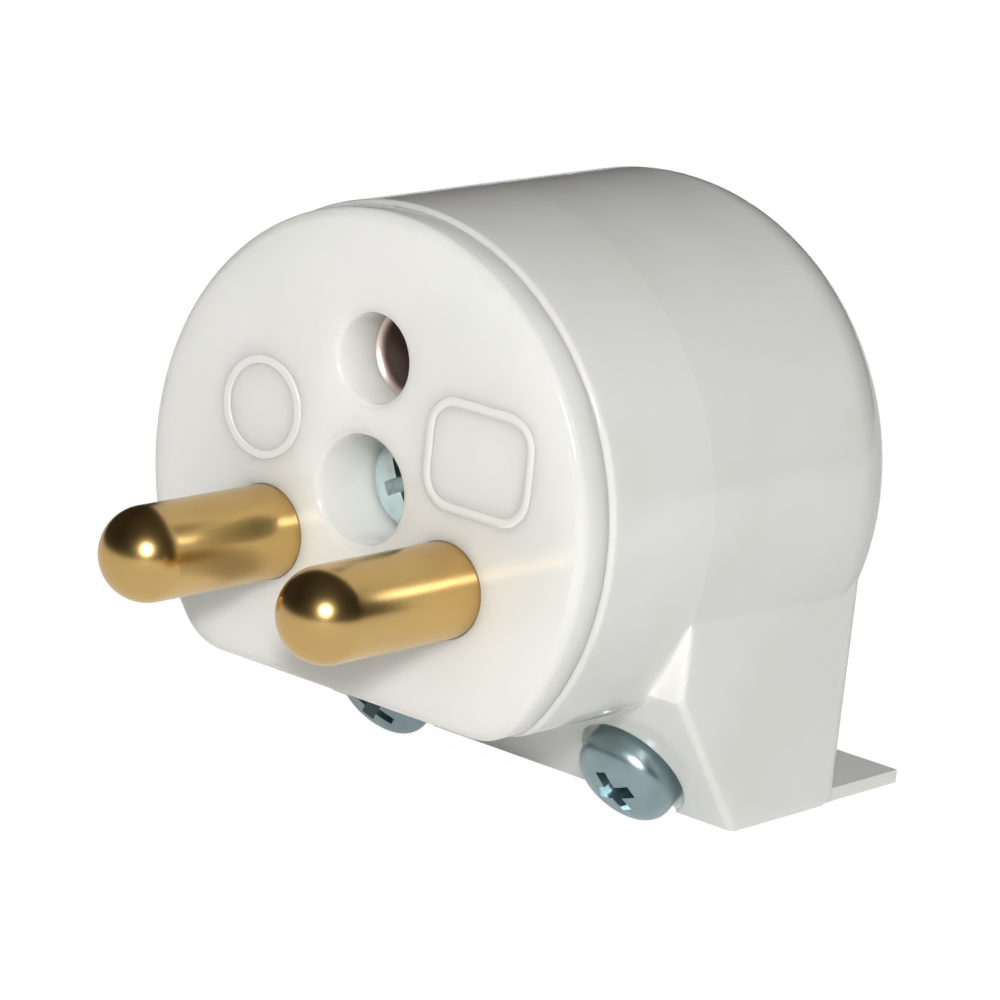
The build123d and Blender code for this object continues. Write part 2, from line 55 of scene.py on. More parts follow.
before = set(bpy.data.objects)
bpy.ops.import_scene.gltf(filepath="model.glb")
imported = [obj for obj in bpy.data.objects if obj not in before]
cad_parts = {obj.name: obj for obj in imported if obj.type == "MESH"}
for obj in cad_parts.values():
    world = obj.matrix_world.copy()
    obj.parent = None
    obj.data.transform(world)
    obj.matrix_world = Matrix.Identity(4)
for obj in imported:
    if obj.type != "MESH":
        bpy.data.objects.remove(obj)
CAD_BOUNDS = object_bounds()
MM = 0.001
BODY = "root"
FORWARD = Vector((0.0, -1.0, 0.0))
REARWARD = Vector((0.0, 1.0, 0.0))
SIDES = ("left", "right")
SHARP_ANGLE = math.radians(38.0)
PLUG_MIDDLE = Vector((0.0, 0.012, 0.0))
CAMERA_PLACE = Vector((0.14798, -0.17170, 0.05814))
CAMERA_RIGHT = Vector((0.75698, 0.64528, 0.10289))
CAMERA_DOWN = Vector((0.23643, -0.12368, -0.96375))
CAMERA_AHEAD = Vector((-0.60916, 0.75386, -0.24619))
SENSOR_WIDTH = 36.0
FOCAL_LENGTH = 165.24
CLIP_START = 0.01
CLIP_END = 5.0

# Mesh work: distances in metres, angles, counts and shares
MERGE_DISTANCE = 0.000002
FLAT_DISTANCE = 0.0000001
AXIS_RADIUS = 1e-9
COPLANAR_ANGLE = math.radians(0.02)
BEVEL_ANGLE = math.radians(28.0)
BEVEL_SEGMENTS = 4
BEVEL_MARK = 1
SAME_FACING = 0.97
HEAD_SHADING_REACH = 0.3 * MM
ROUND_STEPS = 10
LATHE_SEGMENTS = 96
BEAD_ROUND = 0.9
BEAD_SHOULDER = 0.4

# Turns of the screws, and shares of a head's and of a recess's sizes
CLAMP_SPINS = {"left_clamp_screw": 0.9, "right_clamp_screw": 0.35}
COVER_SPIN = 0.5
TERMINAL_SPIN = 0.2
DOME_SHARE = 0.6
RIM_ROUND_LIMIT = 0.6
RECESS_FOOT_SPAN = 0.5
RECESS_FOOT_WIDTH = 0.7

# Finishes
WHITE = (1.0, 1.0, 1.0)
BLACK = (0.0, 0.0, 0.0)
CLOUD_SHADE = (0.965, 0.97, 0.955)
CLOUD_ROUGHNESS = 0.04
RIPPLE_SHARE = 0.85
GRAIN_SHARE = 0.15
GRAIN_ROUGHNESS = 0.02
CREASE_BLUR = 0.00004
# Painted shade: how much darker the cover is painted behind its crease
CREASE_PAINTED_SHADE = 0.035
CREASE_STEP = 0.35
RING_PITCH = 0.0005
RING_WOBBLE = 2.0
STAIN_SHARE = 0.6
STAIN_ROUGHNESS = 0.06
HAZE_ROUGHNESS = 0.06
SPECK_ROUGHNESS = 0.02

# Stage: distances in metres, tones and shares
FLOOR_REACH = 0.6
FLOOR_GAP = 0.00001
FLOOR_TONE = (0.93, 0.93, 0.93)
FLOOR_GLOW = 1.09
FLOOR_SHARE = 0.9
FLOOR_MIRRORED = 0.5
FLAG_TONE = (0.08, 0.07, 0.065)
ROOM_WALL = 0.60
ROOM_CEILING = 0.50


def length(name, description, millimetres):
    """Length property, given in millimetres and kept in metres."""
    return FloatProperty(
        name=name,
        description=description,
        default=millimetres * MM,
        min=0.0,
        precision=5,
        subtype="DISTANCE",
        unit="LENGTH",
    )


def angle(name, description, degrees):
    """Angle property, given in degrees and kept in radians."""
    return FloatProperty(
        name=name,
        description=description,
        default=math.radians(degrees),
        subtype="ANGLE",
        unit="ROTATION",
    )


def power(name, description, watts):
    """Power property."""
    return FloatProperty(name=name, description=description, default=watts, unit="POWER")


def colour(name, description, value):
    """Linear colour property."""
    return FloatVectorProperty(
        name=name, description=description, default=value, size=3, min=0.0, max=1.0, subtype="COLOR"
    )


class PlugFinishes(bpy.types.PropertyGroup):
    """Colours of the plug's materials."""

    plastic: colour("Plastic", "White of the moulded pieces", (0.80, 0.797, 0.766))
    brass: colour("Brass", "Gold of the turned pins", (0.72, 0.49, 0.195))
    worn_brass: colour("Worn brass", "Browner gold where the pins are handled", (0.56, 0.36, 0.125))
    zinc: colour("Zinc", "Bluish grey of the plated screws", (0.34, 0.435, 0.46))
    # Painted light: a lighter copy of the zinc for the cover screw, which sits down in its hole
    zinc_painted_lighter: colour("Zinc painted lighter", "Lighter copy of the plating for the cover screw, as painted light", (0.72, 0.88, 0.92))
    hazy_zinc: colour("Hazy zinc", "Duller grey in the plating", (0.29, 0.38, 0.40))
    sleeve: colour("Earth sleeve", "Tinned brass behind the earth hole", (0.78, 0.65, 0.61))
    dull_sleeve: colour("Dull sleeve", "Brown stain on the earth sleeve", (0.55, 0.42, 0.38))
    spring: colour("Spring strip", "Grey of the spring ring", (0.55, 0.55, 0.54))


class PlugMoulding(bpy.types.PropertyGroup):
    """Soft edges and low relief of the moulded pieces."""

    edge_round: length("Edge", "Width of the cover's softened edges", 0.16)
    block_top: length("Block top", "Of the outlet block's edges below the plug's axis", 8.5)
    scatter: length("Scatter", "How far light spreads inside the base's plastic", 4.0)
    cover_scatter: length("Cover scatter", "How far light spreads inside the cover's plastic", 0.9)
    crease_depth: length("Crease", "Of the cover's crease behind the contact face", 10.1)
    bead_width: length("Bead width", "Width of the raised lines on the face", 0.45)
    bead_height: length("Bead height", "How far the raised lines stand out", 0.08)
    ring_diameter: length("Ring", "Across the middle of the round bead", 5.0)
    ring_offset: length("Ring offset", "From the plug's axis to the left", 7.15)
    ring_rise: length("Ring rise", "Above the plug's axis", 3.05)
    frame_width: length("Frame width", "Across the blank frame", 6.6)
    frame_height: length("Frame height", "Up the blank frame", 5.4)
    frame_round: length("Frame corner", "Corner radius of the blank frame", 1.6)
    frame_offset: length("Frame offset", "From the plug's axis to the right", 7.6)
    frame_rise: length("Frame rise", "Above the plug's axis", 3.6)


class PlugContacts(bpy.types.PropertyGroup):
    """Turned pins, earth sleeve, washers and inserts."""

    pin_diameter: length("Pin", "Across a pin", 5.0)
    root_diameter: length("Pin root", "Across the thinner root in the floor", 4.4)
    floor_thickness: length("Floor", "From the contact face to the terminals", 2.9)
    tapped_diameter: length("Tapped hole", "Across the hole for a terminal screw", 3.0)
    tapped_depth: length("Tapped depth", "Depth of that hole", 3.4)
    edge_break: length("Edge break", "Rounding of turned edges", 0.18)
    sleeve_bore: length("Earth sleeve bore", "Across the bore of the earth sleeve", 4.2)
    sleeve_depth: length("Earth sleeve depth", "Depth of that bore", 9.0)
    sleeve_mouth: length("Earth sleeve mouth", "Rounding of the bore's mouth", 0.6)
    slot_width: length("Slot", "Width of the slot across the earth sleeve", 0.7)
    slot_depth: length("Slot depth", "Length of that slot", 6.9)
    groove_depth: length("Groove", "Depth of the groove for the spring ring", 0.25)
    washer_bore: length("Washer hole", "Across the hole of a wire washer", 3.2)
    insert_bore: length("Insert hole", "Across the hole of a threaded insert", 3.0)
    knurl_count: IntProperty(name="Knurls", description="Bars around an insert", default=28, min=3)
    knurl_depth: length("Knurl depth", "How deep the bars stand over the insert's core", 0.14)


class PlugScrews(bpy.types.PropertyGroup):
    """Screws with a raised head, a cross recess and a rolled thread."""

    clamp_head: length("Clamp screw head", "Across the head of a clamp screw", 5.7)
    cover_head: length("Cover screw head", "Across the head of the cover screw", 5.5)
    terminal_head: length("Terminal screw head", "Across the head of a terminal screw", 5.4)
    head_height: length("Head height", "Height of the clamp and cover screws' heads", 2.4)
    terminal_head_height: length("Terminal head height", "Height of a terminal screw's head", 1.6)
    rim_height: length("Rim", "Side of a tall head, up to its dome; low heads keep the share", 1.9)
    rim_round: length("Rim round", "Rounding between a head's side and its dome", 1.1)
    seat_round: length("Seat round", "Rounding under a head's rim", 0.12)
    thread_diameter: length("Thread", "Across the thread", 2.9)
    thread_pitch: length("Pitch", "Rise of the thread in one turn", 0.5)
    thread_ridge: length("Ridge", "Radius of the thread's round ridge", 0.16)
    tip_chamfer: length("Tip", "Chamfer at the end of the shank", 0.4)
    recess_span: length("Recess span", "Across the cross recess at the top", 3.0)
    recess_width: length("Recess width", "Width of a wing of the recess", 0.8)
    recess_depth: length("Recess depth", "Depth of the recess", 1.3)
    clamp_length: length("Clamp screw length", "Under the head", 9.0)
    cover_length: length("Cover screw length", "Under the head", 10.0)
    terminal_length: length("Terminal screw length", "Under the head", 3.9)
    clamp_seat_depth: length("Clamp seat depth", "Of the clamp screws' seats behind the face", 14.76)
    clamp_seat_drop: length("Clamp seat drop", "Of the clamp screws' seats below the axis", 14.38)
    slant: angle("Slant", "Lean of the wall under the clamp screws", 36.0)


class PlugStage(bpy.types.PropertyGroup):
    """Levels and places of the lamps, and the level of the room."""

    key_power: power("Key lamp", "Power of the lamp over the camera", 2.0)
    key_size: length("Key lamp size", "Across the lamp", 60.0)
    key_azimuth: angle("Key lamp azimuth", "Turn of the lamp from the plug's front to the right", 38.5)
    key_elevation: angle("Key lamp elevation", "Rise of the lamp over the plug's axis", 23.6)
    back_power: power("Back lamp", "Power of the soft lamp behind the plug", 0.95)
    back_size: length("Back lamp size", "Across the lamp", 240.0)
    back_azimuth: angle("Back lamp azimuth", "Turn of that lamp from the front to the right", 208.0)
    back_elevation: angle("Back lamp elevation", "Rise of that lamp over the plug's axis", 0.0)
    lamp_distance: length("Lamp distance", "From the plug to a lamp", 500.0)
    room_level: FloatProperty(
        name="Room", description="Light that comes from all around", default=0.20, min=0.0
    )


class LampPlugSettings(bpy.types.PropertyGroup):
    """Everything that a user may change about the plug."""

    finishes: PointerProperty(type=PlugFinishes)
    moulding: PointerProperty(type=PlugMoulding)
    contacts: PointerProperty(type=PlugContacts)
    screws: PointerProperty(type=PlugScrews)
    stage: PointerProperty(type=PlugStage)


class Value:
    """A node socket in an expression: arithmetic on it adds Math nodes."""

    def __init__(self, tree, socket):
        self.tree = tree
        self.socket = socket

    def _math(self, operation, *terms):
        return self.tree.node("ShaderNodeMath", {"operation": operation}, *terms)

    def __add__(self, other):
        return self._math("ADD", self, other)

    def __mul__(self, other):
        return self._math("MULTIPLY", self, other)

    def __truediv__(self, other):
        return self._math("DIVIDE", self, other)

    __radd__ = __add__
    __rmul__ = __mul__

    def smaller(self, other):
        return self._math("MINIMUM", self, other)

    def sine(self):
        return self._math("SINE", self)

    def ramp(self, low, high):
        """Runs smoothly from 0 to 1 while the value goes from low to high."""
        smooth = {"interpolation_type": "SMOOTHSTEP"}
        return self.tree.node("ShaderNodeMapRange", smooth, Value=self, From_Min=low, From_Max=high)


class Tree:
    """A node tree, with one method that adds nodes."""

    def __init__(self, nodes_of):
        self.tree = nodes_of
        self.tree.nodes.clear()

    def node(self, kind, settings=None, *values, output=0, **named):
        """Adds a node, sets it up, fills its sockets and returns one of its outputs."""
        made = self.tree.nodes.new(kind)
        for key, value in (settings or {}).items():
            setattr(made, key, value)
        for index, value in enumerate(values):
            self.fill(made.inputs[index], value)
        for key, value in named.items():
            self.fill(made.inputs[key.replace("_", " ")], value)
        return Value(self, made.outputs[output]) if made.outputs else None

    def fill(self, socket, value):
        """Links a value to a socket, or sets a plain one."""
        if isinstance(value, Value):
            self.tree.links.new(value.socket, socket)
        else:
            socket.default_value = value


class Shader(Tree):
    """The node tree of a material or a world."""

    def __init__(self, owner):
        owner.use_nodes = True
        super().__init__(owner.node_tree)
        is_world = isinstance(owner, bpy.types.World)
        self.end = "ShaderNodeOutputWorld" if is_world else "ShaderNodeOutputMaterial"

    def place(self):
        """Object coordinates, in metres."""
        return self.node("ShaderNodeTexCoord", output="Object")

    def noise(self, where, scale, detail):
        """Soft noise from 0 to 1."""
        return self.node("ShaderNodeTexNoise", Vector=where, Scale=scale, Detail=detail)

    def blend(self, factor, first, second):
        """Mixes two colours."""
        mix = self.tree.nodes.new("ShaderNodeMix")
        mix.data_type = "RGBA"
        for index, value in ((0, factor), (6, first), (7, second)):
            self.fill(mix.inputs[index], value)
        return Value(self, mix.outputs[2])

    def finish(self, surface):
        self.node(self.end, Surface=surface)


class Recipe(Tree):
    """A Geometry Nodes tree with named sizes."""

    def __init__(self, name):
        super().__init__(bpy.data.node_groups.new(name, "GeometryNodeTree"))
        self.tree.interface.new_socket("Geometry", in_out="OUTPUT", socket_type="NodeSocketGeometry")
        self.inlet = self.tree.nodes.new("NodeGroupInput")

    def size(self, name, kind="NodeSocketFloat"):
        """Adds a named input and returns it for use in the tree."""
        self.tree.interface.new_socket(name, in_out="INPUT", socket_type=kind)
        return Value(self, self.inlet.outputs[name])

    def finish(self, geometry, material):
        real = self.node("GeometryNodeRealizeInstances", None, geometry)
        dressed = self.node("GeometryNodeSetMaterial", Geometry=real, Material=material)
        self.node("NodeGroupOutput", None, dressed)

    def grow(self, sizes):
        """Mesh that the tree makes with the given sizes."""
        holder = temporary(self.tree.name, bpy.data.meshes.new(self.tree.name))
        modifier = holder.modifiers.new(self.tree.name, "NODES")
        modifier.node_group = self.tree
        for item in self.tree.interface.items_tree:
            if item.in_out == "INPUT":
                modifier[item.identifier] = sizes[item.name]
        return settled(holder)


def temporary(name, mesh):
    """Object that holds a mesh while modifiers work on it."""
    holder = bpy.data.objects.new(name, mesh)
    bpy.context.scene.collection.objects.link(holder)
    return holder


def settled(holder):
    """Plain mesh of an object with its modifiers applied; the object goes away."""
    evaluated = holder.evaluated_get(bpy.context.evaluated_depsgraph_get())
    mesh = bpy.data.meshes.new_from_object(evaluated)
    bpy.data.objects.remove(holder)
    return mesh


def opaque(rgb):
    """Colour with full alpha, for a shader socket."""
    return (rgb[0], rgb[1], rgb[2], 1.0)


def moulded_plastic(name, rgb, gloss_level, scatter, crease=None):
    """Glossy moulded plastic with a faint ripple; a crease parts a front band from the rest, which is
    darkened a little as painted shade.
    """
    material = bpy.data.materials.new(name)
    shader = Shader(material)
    where = shader.place()
    cloud = shader.noise(where, scale=120.0, detail=3.0)
    ripple = shader.noise(where, scale=420.0, detail=2.0)
    grain = shader.noise(where, scale=5200.0, detail=2.0)
    shaded = [level * shade for level, shade in zip(rgb, CLOUD_SHADE)]
    tint = shader.blend(cloud.ramp(0.35, 0.7), opaque(rgb), opaque(shaded))
    height = ripple * RIPPLE_SHARE + grain * GRAIN_SHARE
    if crease is not None:
        depth = shader.node("ShaderNodeSeparateXYZ", None, where, output="Y")
        rear = depth.ramp(crease - CREASE_BLUR, crease + CREASE_BLUR)
        # Painted shade: behind the crease the colour is darkened towards black
        tint = shader.blend(rear * CREASE_PAINTED_SHADE, tint, opaque(BLACK))
        height = height + rear * CREASE_STEP
    cloudy = cloud.ramp(0.3, 0.75) * CLOUD_ROUGHNESS
    gloss = gloss_level + cloudy + grain.ramp(0.4, 0.7) * GRAIN_ROUGHNESS
    bump = shader.node("ShaderNodeBump", Strength=0.25, Distance=0.00006, Height=height)
    surface = shader.node(
        "ShaderNodeBsdfPrincipled",
        {"subsurface_method": "BURLEY"},
        Base_Color=tint,
        Roughness=gloss,
        IOR=1.5,
        Subsurface_Weight=1.0 if scatter else 0.0,
        Subsurface_Radius=(1.0, 1.0, 1.0),
        Subsurface_Scale=scatter,
        Normal=bump,
    )
    shader.finish(surface)


def turned_metal(name, rgb, dull_rgb, roughness):
    """Metal turned on a lathe along Y: fine rings, and dull stains in places."""
    material = bpy.data.materials.new(name)
    shader = Shader(material)
    where = shader.place()
    depth = shader.node("ShaderNodeSeparateXYZ", None, where, output="Y")
    wobble = shader.noise(where, scale=160.0, detail=1.0)
    rings = (depth * (2.0 * math.pi / RING_PITCH) + wobble * RING_WOBBLE).sine()
    stain = shader.noise(where, scale=190.0, detail=0.0)
    tint = shader.blend(stain * STAIN_SHARE, opaque(rgb), opaque(dull_rgb))
    gloss = roughness + stain * STAIN_ROUGHNESS
    bump = shader.node("ShaderNodeBump", Strength=0.12, Distance=0.000002, Height=rings)
    surface = shader.node(
        "ShaderNodeBsdfPrincipled", Base_Color=tint, Metallic=1.0, Roughness=gloss, Normal=bump
    )
    shader.finish(surface)


def plated_metal(name, rgb, haze_rgb, roughness):
    """Zinc plating: bright, slightly cloudy and tinted."""
    material = bpy.data.materials.new(name)
    shader = Shader(material)
    where = shader.place()
    haze = shader.noise(where, scale=420.0, detail=3.0)
    speck = shader.noise(where, scale=3800.0, detail=2.0)
    tint = shader.blend(haze.ramp(0.4, 0.7), opaque(rgb), opaque(haze_rgb))
    hazy = haze.ramp(0.4, 0.75) * HAZE_ROUGHNESS
    gloss = roughness + hazy + speck.ramp(0.45, 0.7) * SPECK_ROUGHNESS
    bump = shader.node("ShaderNodeBump", Strength=0.05, Distance=0.000002, Height=speck)
    surface = shader.node(
        "ShaderNodeBsdfPrincipled", Base_Color=tint, Metallic=1.0, Roughness=gloss, Normal=bump
    )
    shader.finish(surface)


def rounded(points):
    """Open outline with arcs at the inner points that carry a radius, (x, y, radius)."""
    outline = [Vector(points[0][:2])]
    for before, corner, after in zip(points, points[1:], points[2:]):
        tip = Vector(corner[:2])
        if len(corner) == 2:
            outline.append(tip)
            continue
        back = (Vector(before[:2]) - tip).normalized()
        ahead = (Vector(after[:2]) - tip).normalized()
        half = back.angle(ahead) / 2.0
        middle = tip + (back + ahead).normalized() * (corner[2] / math.sin(half))
        start = tip + back * (corner[2] / math.tan(half)) - middle
        sweep = start.angle_signed(tip + ahead * (corner[2] / math.tan(half)) - middle)
        for step in range(ROUND_STEPS + 1):
            arm = start.copy()
            arm.rotate(Matrix.Rotation(-sweep * step / ROUND_STEPS, 2))
            outline.append(middle + arm)
    outline.append(Vector(points[-1][:2]))
    return outline


def lathe(profile, closed=False):
    """Solid of revolution about Z; an open profile starts and ends on the axis."""
    bm = bmesh.new()
    turn = 2.0 * math.pi / LATHE_SEGMENTS
    rings = []
    for radius, height in profile:
        count = LATHE_SEGMENTS if radius > AXIS_RADIUS else 1
        rings.append(
            [
                bm.verts.new((radius * math.cos(turn * i), radius * math.sin(turn * i), height))
                for i in range(count)
            ]
        )
    pairs = list(zip(rings, rings[1:]))
    if closed:
        pairs.append((rings[-1], rings[0]))
    for lower, upper in pairs:
        for i in range(LATHE_SEGMENTS):
            j = (i + 1) % LATHE_SEGMENTS
            corners = (
                lower[i % len(lower)],
                lower[j % len(lower)],
                upper[j % len(upper)],
                upper[i % len(upper)],
            )
            bm.faces.new(tuple(dict.fromkeys(corners)))
    bmesh.ops.recalc_face_normals(bm, faces=bm.faces)
    return plain_mesh(bm)


def soft_ring(bore, outer, height, soft):
    """Ring about Z with rounded edges, its middle at Z = 0."""
    half = height / 2.0
    profile = rounded(
        [
            (bore, 0.0),
            (bore, half, soft),
            (outer, half, soft),
            (outer, -half, soft),
            (bore, -half, soft),
            (bore, 0.0),
        ]
    )
    return lathe(profile[:-1], closed=True)


def plain_mesh(bm):
    """Mesh data of a finished bmesh."""
    mesh = bpy.data.meshes.new("shape")
    bm.to_mesh(mesh)
    bm.free()
    return mesh


def oblong(wide, deep):
    """Corners of a rectangle about the axis."""
    x = wide / 2.0
    y = deep / 2.0
    return [(-x, -y), (x, -y), (x, y), (-x, y)]


def cross(span, width):
    """Corners of a cross with four equal wings about the axis."""
    far = span / 2.0
    near = width / 2.0
    wing = [(near, -near), (far, -near), (far, near)]
    corners = []
    for _ in range(4):
        corners.extend(wing)
        wing = [(-y, x) for x, y in wing]
    return corners


def tapered(foot, lower, top, upper):
    """Block between two outlines with equally many corners, each at its height."""
    bm = bmesh.new()
    below = [bm.verts.new((x, y, lower)) for x, y in foot]
    above = [bm.verts.new((x, y, upper)) for x, y in top]
    bm.faces.new(below[::-1])
    bm.faces.new(above)
    for i in range(len(foot)):
        j = (i + 1) % len(foot)
        bm.faces.new((below[i], below[j], above[j], above[i]))
    return plain_mesh(bm)


def carved(mesh, tool):
    """Mesh with a tool's volume taken away."""
    base = temporary("carved", mesh)
    cutter = temporary("cutter", tool)
    cut = base.modifiers.new("cut", "BOOLEAN")
    cut.operation = "DIFFERENCE"
    cut.solver = "EXACT"
    cut.object = cutter
    mesh = settled(base)
    bpy.data.objects.remove(cutter)
    return mesh


def softened(node, width, front, top):
    """Copy of a CAD node's mesh whose sharp edges behind a depth and below a height are rounded."""
    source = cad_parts[node].data
    bm = bmesh.new()
    bm.from_mesh(source)
    bmesh.ops.remove_doubles(bm, verts=bm.verts, dist=MERGE_DISTANCE)

    def chosen(edge):
        return all(vertex.co.y > front and vertex.co.z < top for vertex in edge.verts)

    edges = [edge for edge in bm.edges if chosen(edge)]
    corners = list(dict.fromkeys(vertex for edge in edges for vertex in edge.verts))
    bmesh.ops.dissolve_limit(bm, angle_limit=COPLANAR_ANGLE, verts=corners, edges=edges)
    edges = [
        edge
        for edge in bm.edges
        if chosen(edge) and edge.is_convex and edge.calc_face_angle(0.0) > BEVEL_ANGLE
    ]
    made = bmesh.ops.bevel(
        bm,
        geom=edges,
        offset=width,
        segments=BEVEL_SEGMENTS,
        profile=0.5,
        affect="EDGES",
        clamp_overlap=True,
    )
    for face in made["faces"]:
        face.material_index = BEVEL_MARK
    bmesh.ops.dissolve_degenerate(bm, dist=FLAT_DISTANCE, edges=bm.edges)
    mesh = plain_mesh(bm)
    mesh.shade_smooth()
    mesh.set_sharp_from_angle(angle=SHARP_ANGLE)
    keep_shading(mesh, source, width)
    return mesh


def keep_shading(mesh, source, reach):
    """Gives the corners of a reworked mesh the shading of the source's face that they lie on."""
    corners = kdtree.KDTree(len(source.loops))
    for loop in source.loops:
        corners.insert(source.vertices[loop.vertex_index].co, loop.index)
    corners.balance()
    facing = {index: face.normal for face in source.polygons for index in face.loop_indices}
    given = [corner.vector.copy() for corner in source.corner_normals]
    shading = [corner.vector.copy() for corner in mesh.corner_normals]
    for face in mesh.polygons:
        if face.material_index == BEVEL_MARK:
            continue
        for index in face.loop_indices:
            place = mesh.vertices[mesh.loops[index].vertex_index].co
            near = corners.find_range(place, MERGE_DISTANCE) or corners.find_range(place, reach)
            matches = ((facing[at].dot(face.normal), at) for _, at, _ in near)
            match, best = max(matches, default=(0.0, None))
            if match > SAME_FACING:
                shading[index] = given[best]
    mesh.normals_split_custom_set(shading)


def joined(*meshes):
    """One mesh that holds the shells of several."""
    bm = bmesh.new()
    for mesh in meshes:
        bm.from_mesh(mesh)
    return plain_mesh(bm)


def add_piece(name, mesh, place, material, slot, *nodes):
    mesh.transform(place)
    mesh.materials.clear()
    mesh.materials.append(bpy.data.materials[material])
    for face in mesh.polygons:
        face.material_index = 0
    if not mesh.has_custom_normals:
        mesh.shade_smooth()
        mesh.set_sharp_from_angle(angle=SHARP_ANGLE)
    piece = bpy.data.objects.new(name, mesh)
    bpy.context.scene.collection.objects.link(piece)
    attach(piece, BODY)
    if nodes:
        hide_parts(*nodes)


def along(origin, axis, spin=0.0):
    """Place whose Z runs along an axis from an origin, spun about it."""
    turn = Vector(axis).to_track_quat("Z", "Y").to_matrix().to_4x4()
    return Matrix.Translation(origin) @ turn @ Matrix.Rotation(spin, 4, "Z")


def middle_of(node):
    """Middle of a CAD node's box."""
    low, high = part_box(node)
    return (Vector(low) + Vector(high)) / 2.0


def dress(node, material):
    """Gives a carried-over solid its finish."""
    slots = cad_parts[node].data.materials
    slots.clear()
    slots.append(bpy.data.materials[material])


class LAMPPLUG_OT_finishes(bpy.types.Operator):
    """Makes the materials and gives the carried-over solids theirs"""

    bl_idname = "lampplug.finishes"
    bl_label = "Finishes"

    def execute(self, context):
        look = context.scene.lamp_plug.finishes
        edge = context.scene.lamp_plug.moulding
        moulded_plastic("base plastic", look.plastic, gloss_level=0.11, scatter=edge.scatter)
        moulded_plastic(
            "cover plastic",
            look.plastic,
            gloss_level=0.10,
            scatter=edge.cover_scatter,
            crease=edge.crease_depth,
        )
        moulded_plastic("plain plastic", look.plastic, gloss_level=0.14, scatter=0.0)
        turned_metal("turned brass", look.brass, look.worn_brass, roughness=0.225)
        turned_metal("tinned brass", look.sleeve, look.dull_sleeve, roughness=0.42)
        plated_metal("zinc plating", look.zinc, look.hazy_zinc, roughness=0.31)
        # Painted light: the same plating made lighter for the cover screw in its hole
        plated_metal("bright zinc", look.zinc_painted_lighter, look.spring, roughness=0.2)
        plated_metal("spring strip", look.spring, look.hazy_zinc, roughness=0.25)
        dress("contact_base", "base plastic")
        dress("cord_clamp", "plain plastic")
        dress("earth_spring", "spring strip")
        return {"FINISHED"}


class LAMPPLUG_OT_cover(bpy.types.Operator):
    """Softens the cover's edges"""

    bl_idname = "lampplug.cover"
    bl_label = "Cover"

    def execute(self, context):
        sizes = context.scene.lamp_plug.moulding
        mesh = softened("cover", sizes.edge_round, sizes.crease_depth - MM, -sizes.block_top)
        add_piece("soft_cover", mesh, Matrix.Identity(4), "cover plastic", "white_plastic", "cover")
        return {"FINISHED"}


class LAMPPLUG_OT_relief(bpy.types.Operator):
    """Puts the raised ring and the blank frame on the contact face"""

    bl_idname = "lampplug.relief"
    bl_label = "Face Relief"

    def execute(self, context):
        look = context.scene.lamp_plug.moulding
        half = look.bead_width / 2.0
        sunk = -look.bead_height
        ring = look.ring_diameter / 2.0
        bead = rounded(
            [
                (ring - half, sunk),
                (ring - half, look.bead_height, BEAD_ROUND * look.bead_height),
                (ring + half, look.bead_height, BEAD_ROUND * look.bead_height),
                (ring + half, sunk),
            ]
        )
        place = along((-look.ring_offset, 0.0, look.ring_rise), FORWARD)
        add_piece("face_ring", lathe(bead, closed=True), place, "plain plastic", "white_plastic")

        shoulder = BEAD_SHOULDER * look.bead_height
        crown = BEAD_SHOULDER * half
        section = (
            (-half, sunk),
            (-half, shoulder),
            (-crown, look.bead_height),
            (crown, look.bead_height),
            (half, shoulder),
            (half, sunk),
        )
        bm = bmesh.new()
        rings = []
        for inset, height in section:
            outline = self.frame_outline(look, inset)
            rings.append([bm.verts.new((x, y, height)) for x, y in outline])
        for lower, upper in zip(rings, rings[1:] + rings[:1]):
            for i in range(len(lower)):
                j = (i + 1) % len(lower)
                bm.faces.new((lower[i], lower[j], upper[j], upper[i]))
        bmesh.ops.recalc_face_normals(bm, faces=bm.faces)
        place = along((look.frame_offset, 0.0, look.frame_rise), FORWARD)
        add_piece("face_frame", plain_mesh(bm), place, "plain plastic", "white_plastic")
        return {"FINISHED"}

    def frame_outline(self, look, inset):
        """Rounded rectangle, drawn in by an inset."""
        radius = look.frame_round - inset
        points = []
        steps = 12
        for quarter, (sx, sy) in enumerate(((1, 1), (-1, 1), (-1, -1), (1, -1))):
            centre_x = sx * (look.frame_width / 2.0 - look.frame_round)
            centre_y = sy * (look.frame_height / 2.0 - look.frame_round)
            for step in range(steps + 1):
                turn = (quarter + step / steps) * math.pi / 2.0
                x = centre_x + radius * math.cos(turn)
                y = centre_y + radius * math.sin(turn)
                points.append((x, y))
        return points


